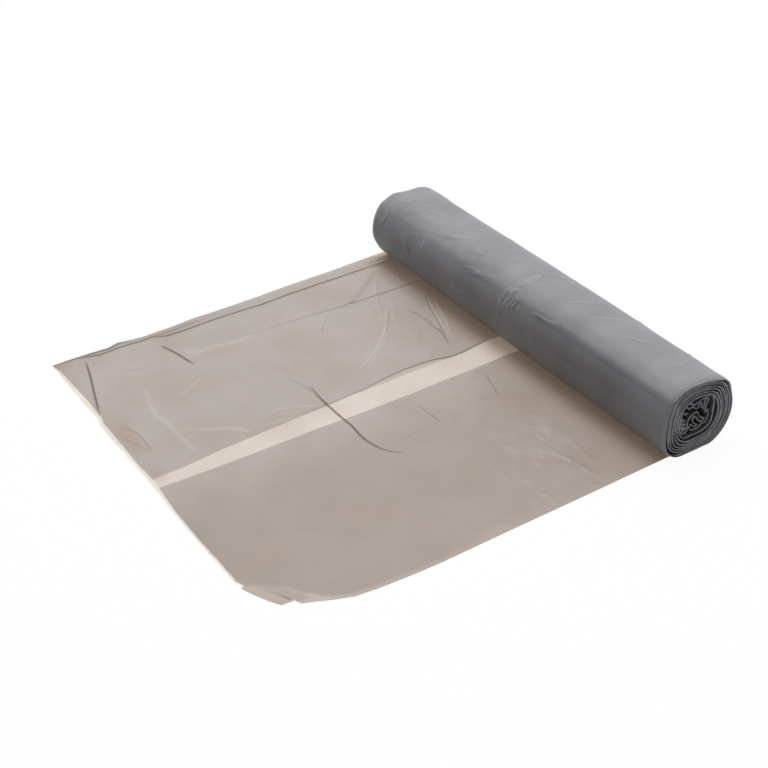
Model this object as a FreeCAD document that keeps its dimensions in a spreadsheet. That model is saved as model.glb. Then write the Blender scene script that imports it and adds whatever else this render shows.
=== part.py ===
"""Bin bag roll: a coreless roll of thin gusseted bags, with the next bag drawn off flat.

The whole roll is one web of film, so it is one solid. X runs along the roll, the loose
bag lies towards -Y, and the underside rests on Z = 0 with the origin below the middle.
"""
import FreeCAD, Part
import Sketcher
import math
import os

Vector = FreeCAD.Vector
doc = FreeCAD.newDocument("bin_bag_roll")

# Driving sizes, in millimetres unless a line says otherwise
SIZES = [
    ("bag_width", 310.0, "width of the folded bag, which is also the width of the web"),
    ("drawn_length", 292.0, "loose bag, from the roll's middle line to its far edge"),
    ("layer", 0.2, "one film layer with the air that a crumpled film traps"),
    ("gusset_gap", 19.0, "pale strip where the two side gussets don't meet"),
    ("gusset_gap_shift", 1.0, "middle of that strip, off the middle of the bag"),
    ("fold_band", 11.0, "strip at the rear edge that sticks out past the upper fold"),
    ("hem_band", 3.0, "single layer that sticks out at the far edge"),
    ("hem_start", -84.0, "rear end of that single layer, along the roll"),
    ("hem_end", 24.0, "near end of that single layer, along the roll"),
    ("corner_cut_x", 46.0, "turned-under near corner, along the far edge"),
    ("corner_cut_y", 94.0, "turned-under near corner, along the near edge"),
    ("corner_tip_x", 19.0, "torn tip of that corner, in from the near edge"),
    ("corner_tip_y", 11.0, "torn tip of that corner, in from the far edge"),
    ("corner_notch", 6.0, "length of the small tear beside the tip"),
    ("roll_length", 313.0, "roll, end to end"),
    ("roll_width", 57.0, "roll across at its ends"),
    ("roll_height", 51.0, "roll height at its ends"),
    ("roll_swell", 1.0, "how much fatter the roll is half way along, on each side"),
    ("squareness", 2.9, "power of the rounded square that the roll has settled into"),
    ("resting_flat", 26.0, "width of the flat spot under the roll"),
    ("shoulder_depth", 4.0, "length of the soft shoulder at each end"),
    ("shoulder_inset", 1.2, "how far the shoulder pulls in"),
    ("outer_wall", 0.6, "film between the roll's surface and the outermost gap"),
    ("turn_pitch", 2.2, "distance between two of the groups of turns that show"),
    ("turn_count", 8.0, "groups of turns that show before the core, a plain number"),
    ("turn_gap", 0.55, "gap between two groups of turns at the end face"),
    ("turn_gap_depth", 5.0, "how deep those gaps go in from the end face"),
    ("core_crush", 0.52, "share of the innermost turn's size by which its sides cave in"),
    ("crease_height", 1.2, "sharp creases across the loose bag"),
    ("crease_width", 4.0, "width of a sharp crease"),
    ("wave_height", 2.2, "soft waves in the loose bag"),
    ("wave_width", 18.0, "width of a soft wave"),
]

sheet = doc.addObject("Spreadsheet::Sheet", "sizes")
for row, (alias, value, meaning) in enumerate(SIZES, start=1):
    sheet.set("A%d" % row, alias)
    sheet.set("B%d" % row, str(value))
    sheet.set("C%d" % row, meaning)
    sheet.setAlias("B%d" % row, alias)
doc.recompute()


def size(alias):
    """The value of one named size."""
    return float(sheet.get(alias))


# The roll stands off the origin by half of what the loose bag adds to the depth
ROLL_Y = "(sizes.drawn_length - sizes.roll_width / 2 - sizes.roll_swell) / 2"
roll_y = (size("drawn_length") - size("roll_width") / 2 - size("roll_swell")) / 2
FAR_EDGE = "(%s - sizes.drawn_length)" % ROLL_Y

# Radius of the flattened roll and how far it sinks to make its flat spot
half_width = size("roll_width") / 2
flat_sink = 0.5 * size("roll_height") * (1 - (
    1 - (size("resting_flat") / size("roll_width")) ** size("squareness")
) ** (1 / size("squareness")))
half_height = size("roll_height") / 2 + flat_sink / 2


def section_radius(angle, inset, crush=0.0):
    """Distance from the axis to a turn that lies inset below the surface.

    The turn is a rounded square. Crush, a share, caves in the middle of its four sides.
    """
    power = size("squareness")
    across = half_width - inset
    up = half_height - inset
    rounded = (abs(math.cos(angle) / across) ** power
               + abs(math.sin(angle) / up) ** power) ** (-1 / power)
    return rounded * (1 - crush * (1 + math.cos(4 * angle)) / 2)


def section_point(x, angle, radius, lift=0.0):
    """A point of the roll's section, at the place x along the roll."""
    centre_z = half_height - flat_sink + lift
    return Vector(x, roll_y + radius * math.cos(angle), centre_z + radius * math.sin(angle))


def arcs_through(points):
    """Arcs that join on end to end, each through three of the points in turn."""
    return [Part.Arc(*points[i:i + 3]).toShape() for i in range(0, len(points) - 2, 2)]


def section_wire(x, inset):
    """The closed outline of the roll at x. A negative inset makes it fatter."""
    steps = 32
    points = []
    for step in range(steps):
        angle = 2 * math.pi * step / steps
        points.append(section_point(x, angle, section_radius(angle, inset), -inset))
    return Part.Wire(arcs_through(points + points[:1]))


def roll_shape():
    """The wound roll: fattest half way along, with soft shoulders and a flat underside."""
    half = size("roll_length") / 2
    shoulder = half - size("shoulder_depth")
    sections = [section_wire(-half, size("shoulder_inset"))]
    for share in (-1.0, -0.5, 0.0, 0.5, 1.0):
        sections.append(section_wire(share * shoulder, -size("roll_swell") * (1 - share ** 2)))
    sections.append(section_wire(half, size("shoulder_inset")))
    whole = Part.makeLoft(sections, True, True)
    reach = 4 * size("roll_width")
    below = Part.makeBox(2 * size("roll_length"), reach, reach,
                         Vector(-size("roll_length"), roll_y - reach / 2, -reach))
    return whole.cut(below).Solids[0]


def turn_gap_face(x):
    """The spiral gap between the turns at the end face, from the outermost turn inwards.

    It starts under the roll, where the loose bag leaves it, and goes round counter-clockwise
    as seen from +X. The turns nearer the core have caved in more, and gape more.
    """
    steps_per_turn = 24
    turns = int(round(size("turn_count")))
    start = math.radians(-126)
    first_inset = size("outer_wall") + flat_sink + 4 * size("layer")
    outer, inner = [], []
    for step in range(turns * steps_per_turn + 1):
        share = step / (turns * steps_per_turn)
        angle = start + 2 * math.pi * step / steps_per_turn
        inset = first_inset + size("turn_pitch") * step / steps_per_turn
        crush = size("core_crush") * share ** 3
        gap = size("turn_gap") * (1 + share)
        outer.append(section_point(x, angle, section_radius(angle, inset, crush)))
        inner.append(section_point(x, angle, section_radius(angle, inset + gap, crush)))
    ends = [Part.makeLine(outer[0], inner[0]), Part.makeLine(outer[-1], inner[-1])]
    edges = arcs_through(outer) + arcs_through(inner) + ends
    return Part.Face(Part.Wire(Part.__sortEdges__(edges)))


def turn_gap_shape(side):
    """The spiral gap at one end of the roll, as the solid that is cut away."""
    depth = size("turn_gap_depth")
    start = side * (size("roll_length") / 2 + 1.0)
    return turn_gap_face(start).extrude(Vector(-side * (depth + 1.0), 0, 0))


def add_sketch(body, name):
    """A sketch on the floor plane of its own body."""
    sketch = body.newObject("Sketcher::SketchObject", name)
    plane = [item for item in body.Origin.OriginFeatures if item.Role == "XY_Plane"][0]
    sketch.AttachmentSupport = [(plane, "")]
    sketch.MapMode = "FlatFace"
    return sketch


def add_outline(sketch, corners):
    """Straight edges round the corners, each corner held by two expressions (x, y)."""
    count = len(corners)
    rough = [Vector(math.cos(2 * math.pi * i / count), math.sin(2 * math.pi * i / count), 0)
             for i in range(count)]
    first = sketch.GeometryCount
    for i in range(count):
        sketch.addGeometry(Part.LineSegment(rough[i] * 50, rough[(i + 1) % count] * 50), False)
    for i in range(count):
        sketch.addConstraint(Sketcher.Constraint(
            "Coincident", first + i, 2, first + (i + 1) % count, 1))
    for i, corner in enumerate(corners):
        for direction, expression in zip(("DistanceX", "DistanceY"), corner):
            index = sketch.addConstraint(Sketcher.Constraint(
                direction, -1, 1, first + i, 1, 1.0))
            sketch.setExpression("Constraints[%d]" % index, expression)


def add_pocket(body, name, corners, depth):
    """Lower a patch of the loose bag's upper side by depth."""
    sketch = add_sketch(body, name + "_outline")
    sketch.setExpression(".AttachmentOffset.Base.z", "4 * sizes.layer")
    add_outline(sketch, corners)
    pocket = body.newObject("PartDesign::Pocket", name)
    pocket.Profile = sketch
    pocket.setExpression("Length", depth)
    doc.recompute()
    return pocket


def rectangle(left, right, front, back):
    """The corners of a rectangle from its four sides."""
    return [(left, front), (right, front), (right, back), (left, back)]


# The loose bag: four layers of film, two where the gussets don't meet
REAR = "(-sizes.bag_width / 2)"
NEAR = "(sizes.bag_width / 2)"
loose_bag = doc.addObject("PartDesign::Body", "loose_bag")
outline = add_sketch(loose_bag, "bag_outline")
add_outline(outline, [
    (REAR, ROLL_Y), (REAR, FAR_EDGE),
    ("%s - sizes.corner_cut_x" % NEAR, FAR_EDGE),
    ("%s - sizes.corner_tip_x" % NEAR, "%s + sizes.corner_tip_y" % FAR_EDGE),
    ("%s - sizes.corner_tip_x - sizes.corner_notch / 4" % NEAR,
     "%s + sizes.corner_tip_y + sizes.corner_notch" % FAR_EDGE),
    ("%s - 0.8 * sizes.corner_tip_x" % NEAR,
     "%s + sizes.corner_tip_y + sizes.corner_notch" % FAR_EDGE),
    ("%s - sizes.corner_tip_x / 4" % NEAR, "%s + 0.55 * sizes.corner_cut_y" % FAR_EDGE),
    (NEAR, "%s + sizes.corner_cut_y" % FAR_EDGE), (NEAR, ROLL_Y),
])
pad = loose_bag.newObject("PartDesign::Pad", "film_layers")
pad.Profile = outline
pad.setExpression("Length", "4 * sizes.layer")
doc.recompute()
add_pocket(loose_bag, "gusset_strip", rectangle(
    "sizes.gusset_gap_shift - sizes.gusset_gap / 2",
    "sizes.gusset_gap_shift + sizes.gusset_gap / 2", FAR_EDGE, ROLL_Y), "2 * sizes.layer")
add_pocket(loose_bag, "rear_fold", rectangle(
    REAR, "%s + sizes.fold_band" % REAR, FAR_EDGE, ROLL_Y), "2 * sizes.layer")
add_pocket(loose_bag, "single_layer_hem", rectangle(
    "sizes.hem_start", "sizes.hem_end", FAR_EDGE, "%s + sizes.hem_band" % FAR_EDGE),
    "3 * sizes.layer")

# Creases and soft waves of the loose bag: where each one starts and ends, as shares of the
# bag's width along the roll and of the drawn length from the roll's middle line
CREASES = [
    ((-0.115, 0.542), (0.045, 0.562)), ((0.045, 0.562), (0.211, 0.536)),
    ((-0.436, 0.748), (-0.325, 0.724)), ((-0.452, 0.920), (-0.262, 0.985)),
    ((-0.445, 0.115), (-0.349, 0.265)), ((-0.150, 0.170), (-0.055, 0.178)),
]
WAVES = [
    ((-0.330, 0.160), (-0.190, 0.270)), ((-0.190, 0.270), (-0.110, 0.390)),
    ((0.060, 0.240), (0.250, 0.480)), ((0.210, 0.560), (0.330, 0.700)),
    ((-0.130, 0.900), (-0.020, 0.640)), ((-0.340, 0.740), (-0.310, 0.570)),
    ((0.120, 0.180), (0.440, 0.235)),
]


def add_fold(name, start, end, width, height):
    """A low ridge of film between two places on the loose bag, with tapered ends."""
    fold = doc.addObject("Part::Wedge", name)
    run_x = "((%g) * sizes.bag_width)" % (end[0] - start[0])
    run_y = "((%g) * sizes.drawn_length)" % (end[1] - start[1])
    length = "sqrt(%s ^ 2 + %s ^ 2)" % (run_x, run_y)
    for edge, expression in (
            ("Xmin", "0"), ("Xmax", length), ("X2min", "0.3 * " + length),
            ("X2max", "0.7 * " + length), ("Ymin", "-sizes.layer"), ("Ymax", height),
            ("Zmin", "-%s / 2" % width), ("Zmax", "%s / 2" % width),
            ("Z2min", "0"), ("Z2max", "0")):
        fold.setExpression(edge, expression)
    fold.setExpression(".Placement.Base.x", "(%g) * sizes.bag_width" % start[0])
    fold.setExpression(".Placement.Base.y",
                       "%s - (%g) * sizes.drawn_length" % (ROLL_Y, start[1]))
    fold.setExpression(".Placement.Base.z", "4 * sizes.layer")
    turn = math.atan2(-(end[1] - start[1]) * size("drawn_length"),
                      (end[0] - start[0]) * size("bag_width"))
    fold.Placement.Rotation = FreeCAD.Rotation(math.degrees(turn), 0, 90)
    return fold


folds = [add_fold("crease_%d" % i, start, end, "sizes.crease_width", "sizes.crease_height")
         for i, (start, end) in enumerate(CREASES, start=1)]
folds += [add_fold("wave_%d" % i, start, end, "sizes.wave_width", "sizes.wave_height")
          for i, (start, end) in enumerate(WAVES, start=1)]

# The wound roll, with the gap between its turns cut into each end
wound_film = doc.addObject("Part::Feature", "wound_film")
wound_film.Shape = roll_shape().cut([turn_gap_shape(side) for side in (-1, 1)]).Solids[0]

# One web of film, so one solid
bag_roll = doc.addObject("Part::MultiFuse", "bag_roll")
bag_roll.Shapes = [wound_film, loose_bag] + folds
bag_roll.Refine = False
bag_roll.Label = "bag_roll"
doc.recompute()

for item in doc.Objects:
    if "Invalid" in item.State or "Error" in item.State:
        raise RuntimeError("%s failed: %s" % (item.Name, item.getStatusString()))
parts = [bag_roll]
os.makedirs("parts", exist_ok=True)
for part in parts:
    if part.Shape.isNull() or not part.Shape.isValid():
        raise RuntimeError("%s has no valid shape" % part.Label)
    part.Shape.exportStep(os.path.join("parts", part.Label + ".step"))
    box = part.Shape.BoundBox
    print("%s: %d solid, %.0f x %.0f x %.0f mm, volume %.0f mm3" % (
        part.Label, len(part.Shape.Solids), box.XLength, box.YLength, box.ZLength,
        part.Shape.Volume))
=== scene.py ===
"""Bin bag roll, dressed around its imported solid.

The wound film, the turns that show at both ends, the crushed core and the loose bag are
modelled here. The functions work in millimetres, and finish_piece turns them to metres.
"""
import math
import random

import bmesh
import bpy
import numpy as np
from mathutils import Matrix, Vector, noise


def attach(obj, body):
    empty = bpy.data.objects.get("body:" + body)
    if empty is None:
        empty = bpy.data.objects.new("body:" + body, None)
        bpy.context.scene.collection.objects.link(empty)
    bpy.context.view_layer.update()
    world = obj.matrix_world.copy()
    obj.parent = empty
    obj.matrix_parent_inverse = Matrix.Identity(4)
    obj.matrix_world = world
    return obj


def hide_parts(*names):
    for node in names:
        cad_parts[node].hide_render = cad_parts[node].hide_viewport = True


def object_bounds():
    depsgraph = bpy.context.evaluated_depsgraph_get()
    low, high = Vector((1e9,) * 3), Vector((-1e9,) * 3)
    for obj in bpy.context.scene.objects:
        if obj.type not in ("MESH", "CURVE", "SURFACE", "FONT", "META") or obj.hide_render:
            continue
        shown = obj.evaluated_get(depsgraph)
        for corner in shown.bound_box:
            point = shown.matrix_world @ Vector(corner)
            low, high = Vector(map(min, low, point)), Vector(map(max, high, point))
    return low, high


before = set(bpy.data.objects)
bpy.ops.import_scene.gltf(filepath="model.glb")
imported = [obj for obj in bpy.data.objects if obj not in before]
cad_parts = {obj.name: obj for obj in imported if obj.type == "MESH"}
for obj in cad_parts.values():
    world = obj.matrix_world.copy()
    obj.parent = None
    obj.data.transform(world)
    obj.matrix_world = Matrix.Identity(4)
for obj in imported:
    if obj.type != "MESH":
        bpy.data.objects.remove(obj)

bl_info = {
    "name": "Bin Bag Roll",
    "version": (1, 0, 0),
    "blender": (4, 5, 0),
    "location": "View3D > Sidebar > Bag Roll",
    "description": "A coreless roll of thin film bags with one bag drawn off flat",
    "category": "Add Mesh",
}

MM = 0.001
NODE = "bag_roll"
CAD_LOW, CAD_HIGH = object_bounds()

# The photograph's camera: focal length and place in millimetres, and its angles in degrees,
# round from the front and up from the floor
CAMERA_LENS = 65.31
CAMERA_PLACE = (618.96, -415.59, 517.98)
CAMERA_TURNED = 55.738
CAMERA_RAISED = 34.206

# Length of the roll's surface over one degree round it
MM_PER_DEGREE = 0.47
# What the field "away" holds where no crease is near
NO_CREASE = 9.0
# How fast the line of a crease fades with the square of the distance from it
CREASE_FADE = 3.2
# How far the bag lies towards the roll's far end
BAG_SHIFT = 1.6


def linear(text):
    """An sRGB hex colour as linear RGBA."""
    channels = [int(text[i:i + 2], 16) / 255 for i in (1, 3, 5)]
    bent = [c / 12.92 if c <= 0.04045 else ((c + 0.055) / 1.055) ** 2.4 for c in channels]
    return (*bent, 1.0)


def length_property(name, description, default):
    """A length in metres, given here in millimetres."""
    return bpy.props.FloatProperty(name=name, description=description, default=default * MM,
                                   unit="LENGTH", subtype="DISTANCE", precision=5)


def colour_property(name, description, default):
    """A colour, given here as sRGB hex."""
    return bpy.props.FloatVectorProperty(name=name, description=description, size=4,
                                         default=linear(default), subtype="COLOR",
                                         min=0.0, max=1.0)


class RollSizes(bpy.types.PropertyGroup):
    """The wound roll."""
    length: length_property("Length", "Roll, end to end", (CAD_HIGH.x - CAD_LOW.x) / MM)
    width: length_property("Width", "Roll across, at its ends", 57.0)
    height: length_property("Height", "Roll height, at its ends", 51.0)
    swell: length_property("Swell", "Extra half width half way along", 0.7)
    flat_sink: length_property("Flat sink", "Height lost at the flat spot", 0.93)
    end_depth: length_property("End depth", "How deep one sees between the turns", 12.0)
    turns: bpy.props.IntProperty(name="Turns", description="Turns round the core",
                                 default=6)
    first_pitch: length_property("First pitch", "Pitch of the outermost turns", 1.5)
    pitch_growth: length_property("Pitch growth", "What each turn adds to the pitch", 0.12)


class BagSizes(bpy.types.PropertyGroup):
    """The loose bag that is drawn off the roll."""
    film: length_property("Film", "Four layers of film and the air in them", 0.35)
    width: length_property("Width", "Folded bag across", 310.0)
    length: length_property("Length", "From under the roll to the far edge", 292.0)
    hem: length_property("Hem", "The single layer at the far edge", 3.4)


class FilmColours(bpy.types.PropertyGroup):
    """Colours of the film."""
    wound: colour_property("Wound film", "Many turns lie together", "#8d8d92")
    six: colour_property("Six layers", "Where the rear side is folded over", "#8f857d")
    four: colour_property("Four layers", "Loose bag over its gussets", "#a69f9c")
    two: colour_property("Two layers", "Loose bag between its gussets", "#cbc3bc")
    one: colour_property("One layer", "Hem of the loose bag", "#e6ded6")
    fringe: colour_property("Fringe", "Torn edge of one layer", "#efe9e4")
    # Warm film also carries painted shade, browner and darker close to the roll
    warm_and_shade: colour_property("Warm film", "Where the layers lie apart", "#977f6a")
    # Painted light: the colour of the film's glow, standing in for light from below
    light: colour_property("Light", "Light from below, seen through the film", "#dbc1a6")
    # Painted highlight: the edges of the wound turns are drawn pale where they catch the light
    edges: colour_property("Film edges", "Edges of the wound turns", "#bebec4")
    # Painted highlight along creases, which also stands for film whitened where it was stretched
    painted_highlight: colour_property("Pale crease", "Film whitened where it was stretched", "#dcd5cf")
    # Crease: partly the doubled film, and partly painted shade in the crease
    crease_shade: colour_property("Crease", "Film doubled in a sharp crease", "#4e4642")


# Shared helpers

def add_node(tree, kind, settings=None, links=None):
    """Add one shader node with its settings, and set or link its inputs."""
    node = tree.nodes.new(kind)
    for name, value in (settings or {}).items():
        setattr(node, name, value)
    for name, value in (links or {}).items():
        if isinstance(value, bpy.types.NodeSocket):
            tree.links.new(value, node.inputs[name])
        else:
            node.inputs[name].default_value = value
    return node


def new_material(name):
    """An empty node material and its output."""
    material = bpy.data.materials.new(name)
    material.use_nodes = True
    tree = material.node_tree
    tree.nodes.clear()
    return material, tree, add_node(tree, "ShaderNodeOutputMaterial")


def two_tones(tree, factor, low, low_colour, high, high_colour):
    """Colours from one tone to another as the factor goes from low to high."""
    ramp = add_node(tree, "ShaderNodeValToRGB", links={"Fac": factor})
    elements = ramp.color_ramp.elements
    elements[0].position, elements[0].color = low, low_colour
    elements[1].position, elements[1].color = high, high_colour
    return ramp.outputs["Color"]


def shaded(colour, amount):
    """A colour made darker or lighter."""
    return (*[min(1.0, channel * amount) for channel in colour[:3]], 1.0)


def pattern_scale(spacing):
    """The scale of a pattern whose marks are so many millimetres apart."""
    return 1 / (spacing * MM)


def background_rays(tree):
    """1 for the rays that see the plain background: camera, glossy and transmission rays."""
    rays = add_node(tree, "ShaderNodeLightPath").outputs
    mirrored = add_node(tree, "ShaderNodeMath", {"operation": "MAXIMUM"}, {
        0: rays["Is Glossy Ray"], 1: rays["Is Transmission Ray"]})
    seen = add_node(tree, "ShaderNodeMath", {"operation": "MAXIMUM"}, {
        0: rays["Is Camera Ray"], 1: mirrored.outputs[0]})
    return seen.outputs[0]


# Materials

def crease_share(tree):
    """How much of a crease's painted line each place shows: painted shade above zero, and below
    zero a painted highlight, where the crease is pale.
    """
    away = add_node(tree, "ShaderNodeAttribute", {"attribute_name": "away"}).outputs["Fac"]
    painted_shading = add_node(tree, "ShaderNodeAttribute", {"attribute_name": "painted_shading"}).outputs["Fac"]
    squared = add_node(tree, "ShaderNodeMath", {"operation": "MULTIPLY"}, {0: away, 1: away})
    fading = add_node(tree, "ShaderNodeMath", {"operation": "MULTIPLY"}, {
        0: squared.outputs[0], 1: -CREASE_FADE})
    line = add_node(tree, "ShaderNodeMath", {"operation": "EXPONENT"}, {0: fading.outputs[0]})
    share = add_node(tree, "ShaderNodeMath", {"operation": "MULTIPLY"}, {
        0: line.outputs[0], 1: painted_shading})
    return share.outputs[0]


def add_crease_highlights(tree, tone, painted_highlight):
    """Creases get paler than the film round them: painted highlights where their ridges catch the
    light, and film whitened where it was stretched.
    """
    stretched = add_node(tree, "ShaderNodeMath", {"operation": "MULTIPLY", "use_clamp": True}, {
        0: crease_share(tree), 1: -1.0})
    mixed = add_node(tree, "ShaderNodeMix", {"data_type": "RGBA"}, {
        0: stretched.outputs[0], 6: tone, 7: painted_highlight})
    return mixed.outputs[2]


def wound_film_material():
    """Blown HDPE film wound many turns deep: grey, softly glossy, with a fine crinkle."""
    colour = bpy.context.scene.film_colours.wound
    material, tree, output = new_material("wound grey HDPE film")
    place = add_node(tree, "ShaderNodeTexCoord").outputs["Object"]
    # Winding draws the film tight round the roll, so its marks are longer round than along
    drawn = add_node(tree, "ShaderNodeMapping", links={"Vector": place,
                                                       "Scale": (1.0, 0.35, 0.35)})
    clouds = add_node(tree, "ShaderNodeTexNoise", links={
        "Vector": drawn.outputs[0], "Scale": pattern_scale(22.2), "Detail": 3.0})
    tone = two_tones(tree, clouds.outputs["Fac"], 0.3, shaded(colour, 0.9),
                     0.7, shaded(colour, 1.08))
    # The real crinkle is finer than a millimetre, and drawn coarser so that it shows
    crinkle = add_node(tree, "ShaderNodeTexNoise", links={
        "Vector": drawn.outputs[0], "Scale": pattern_scale(2.38), "Detail": 4.0,
        "Roughness": 0.6})
    bump = add_node(tree, "ShaderNodeBump", links={
        "Height": crinkle.outputs["Fac"], "Strength": 0.2, "Distance": 0.4 * MM})
    # Painted highlights: pale lines along the roll's creases, a lighter copy of the film where
    # ridges catch the light
    tone = add_crease_highlights(tree, tone, shaded(colour, 1.75))
    film = add_node(tree, "ShaderNodeBsdfPrincipled", links={
        "Base Color": tone, "Roughness": 0.5, "IOR": 1.5, "Specular IOR Level": 0.15,
        "Normal": bump.outputs[0]})
    tree.links.new(film.outputs[0], output.inputs[0])
    return material


def film_edge_material():
    """The same film seen at its cut edges, with a painted highlight that makes the edges pale and
    painted shade that makes it darker between the turns.
    """
    colours = bpy.context.scene.film_colours
    material, tree, output = new_material("HDPE film edges with painted light and shade")
    place = add_node(tree, "ShaderNodeTexCoord").outputs["Object"]
    cut = add_node(tree, "ShaderNodeAttribute", {"attribute_name": "cut"})
    clouds = add_node(tree, "ShaderNodeTexNoise", links={
        "Vector": place, "Scale": pattern_scale(5.88), "Detail": 4.0})
    # Painted highlight: the pale edges, with a random tone
    painted_highlight = two_tones(tree, clouds.outputs["Fac"], 0.3, shaded(colours.edges, 0.6),
                     0.7, shaded(colours.edges, 1.2))
    # Painted shade: a darker copy of the wound film deep between the turns
    tone = add_node(tree, "ShaderNodeMix", {"data_type": "RGBA"}, {
        0: cut.outputs["Fac"], 6: shaded(colours.wound, 0.38), 7: painted_highlight})
    crinkle = add_node(tree, "ShaderNodeTexNoise", links={
        "Vector": place, "Scale": pattern_scale(1.111), "Detail": 3.0})
    bump = add_node(tree, "ShaderNodeBump", links={
        "Height": crinkle.outputs["Fac"], "Strength": 0.3, "Distance": 0.3 * MM})
    film = add_node(tree, "ShaderNodeBsdfPrincipled", links={
        "Base Color": tone.outputs[2], "Roughness": 0.4, "IOR": 1.5,
        "Normal": bump.outputs[0]})
    tree.links.new(film.outputs[0], output.inputs[0])
    return material


def loose_film_material():
    """The same film in one to six layers on a white surface: warmer, and the paler the
    fewer layers lie together. A sharp crease doubles the film, and its dark line is that
    and painted shade. Pale lines along creases are painted highlights, the film is painted
    browner near the roll as painted shade, and it glows a little as painted light, which stands
    in for light from the white surface coming up through it."""
    colours = bpy.context.scene.film_colours
    material, tree, output = new_material("loose grey HDPE film")
    place = add_node(tree, "ShaderNodeTexCoord").outputs["Object"]
    fields = {name: add_node(tree, "ShaderNodeAttribute", {"attribute_name": name}).outputs["Fac"]
              for name in ("layers", "warmth_and_shade", "rim", "glow")}
    by_layers = add_node(tree, "ShaderNodeValToRGB", links={"Fac": fields["layers"]})
    ramp = by_layers.color_ramp
    ramp.elements[0].position, ramp.elements[0].color = 0.125, colours.one
    ramp.elements[1].position, ramp.elements[1].color = 0.75, colours.six
    ramp.elements.new(0.25).color = colours.two
    ramp.elements.new(0.5).color = colours.four
    clouds = add_node(tree, "ShaderNodeTexNoise", links={
        "Vector": place, "Scale": pattern_scale(45.45), "Detail": 5.0, "Roughness": 0.6})
    # Tints over the film's own colour, for patches that are a little dimmer and warmer
    patches = two_tones(tree, clouds.outputs["Fac"], 0.38, linear("#f6f4f0"),
                        0.62, linear("#fffdfd"))
    mottled = add_node(tree, "ShaderNodeMix", {"data_type": "RGBA", "blend_type": "MULTIPLY"},
                       {0: 1.0, 6: by_layers.outputs[0], 7: patches})
    # Painted shade: browner near the roll, where the roll shades the film, besides the brown
    # patches
    warmed = add_node(tree, "ShaderNodeMix", {"data_type": "RGBA"}, {
        0: fields["warmth_and_shade"], 6: mottled.outputs[2], 7: colours.warm_and_shade})
    # The far edge is torn, and its outermost millimetre is the palest
    inside = add_node(tree, "ShaderNodeMapRange", links={
        "Value": fields["rim"], "From Min": 0.1, "From Max": 1.0,
        "To Min": 1.0, "To Max": 0.0})
    rimmed = add_node(tree, "ShaderNodeMix", {"data_type": "RGBA"}, {
        0: inside.outputs[0], 6: warmed.outputs[2], 7: colours.fringe})
    # A doubled crease is a dark line about a millimetre wide, partly the doubled film and partly
    # painted shade
    creased = add_node(tree, "ShaderNodeMix", {"data_type": "RGBA"}, {
        0: crease_share(tree), 6: rimmed.outputs[2], 7: colours.crease_shade})
    tone = add_crease_highlights(tree, creased.outputs[2], colours.painted_highlight)
    crinkle = add_node(tree, "ShaderNodeTexNoise", links={
        "Vector": place, "Scale": pattern_scale(4.167), "Detail": 5.0, "Roughness": 0.6})
    bump = add_node(tree, "ShaderNodeBump", links={
        "Height": crinkle.outputs["Fac"], "Strength": 0.16, "Distance": 0.4 * MM})
    # Painted light: the emission lets the film glow, most near the roll
    film = add_node(tree, "ShaderNodeBsdfPrincipled", links={
        "Base Color": tone, "Roughness": 0.34, "IOR": 1.5, "Specular IOR Level": 0.35,
        "Emission Color": colours.light, "Emission Strength": fields["glow"],
        "Normal": bump.outputs[0]})
    tree.links.new(film.outputs[0], output.inputs[0])
    return material


# Meshes

def move_points(bm, x, y, z):
    """Put each point of the mesh at its place."""
    for vert, place in zip(bm.verts, zip(x, y, z)):
        vert.co = place


def set_fields(bm, fields):
    """Store each named field on the points of the mesh, for the materials."""
    for name, values in fields.items():
        field = bm.verts.layers.float.new(name)
        for vert, value in zip(bm.verts, values):
            vert[field] = value


def finish_piece(name, bm, material):
    """Turn a mesh in millimetres into a piece in metres that rides on the roll's body."""
    bmesh.ops.scale(bm, vec=(MM, MM, MM), verts=bm.verts)
    for face in bm.faces:
        face.smooth = True
    mesh = bpy.data.meshes.new(name)
    bm.to_mesh(mesh)
    bm.free()
    piece = bpy.data.objects.new(name, mesh)
    bpy.context.scene.collection.objects.link(piece)
    piece.data.materials.append(material)
    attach(piece, "root")
    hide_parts(NODE)
    return piece


# Fields over many places

def smoothstep(low, high, value):
    """0 below low, 1 above high and smooth between."""
    t = np.clip((np.asarray(value, float) - low) / (high - low), 0.0, 1.0)
    return t * t * (3 - 2 * t)


def bell(value, middle, width):
    """1 at the middle, fading to both sides."""
    return np.exp(-((value - middle) / width) ** 2)


def rough(x, y, z, size, seed):
    """Smooth noise from -1 to 1 at many places, with features about size across."""
    x, y, z = np.broadcast_arrays(x, y, z)
    spots = np.stack([x, y, z], -1).reshape(-1, 3) / size + seed * 17.3
    return np.array([noise.noise(Vector(spot)) for spot in spots]).reshape(x.shape)


def through(points, per_span=8):
    """A smooth line through the points, as an array of places."""
    points = np.array(points, float)
    ends = np.vstack([2 * points[0] - points[1], points, 2 * points[-1] - points[-2]])
    line = []
    for i in range(len(points) - 1):
        a, b, c, d = ends[i:i + 4]
        for t in np.arange(per_span) / per_span:
            line.append(0.5 * (2 * b + (c - a) * t + (2 * a - 5 * b + 4 * c - d) * t ** 2
                               + (3 * b - a - 3 * c + d) * t ** 3))
    line.append(points[-1])
    return np.array(line)


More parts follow.
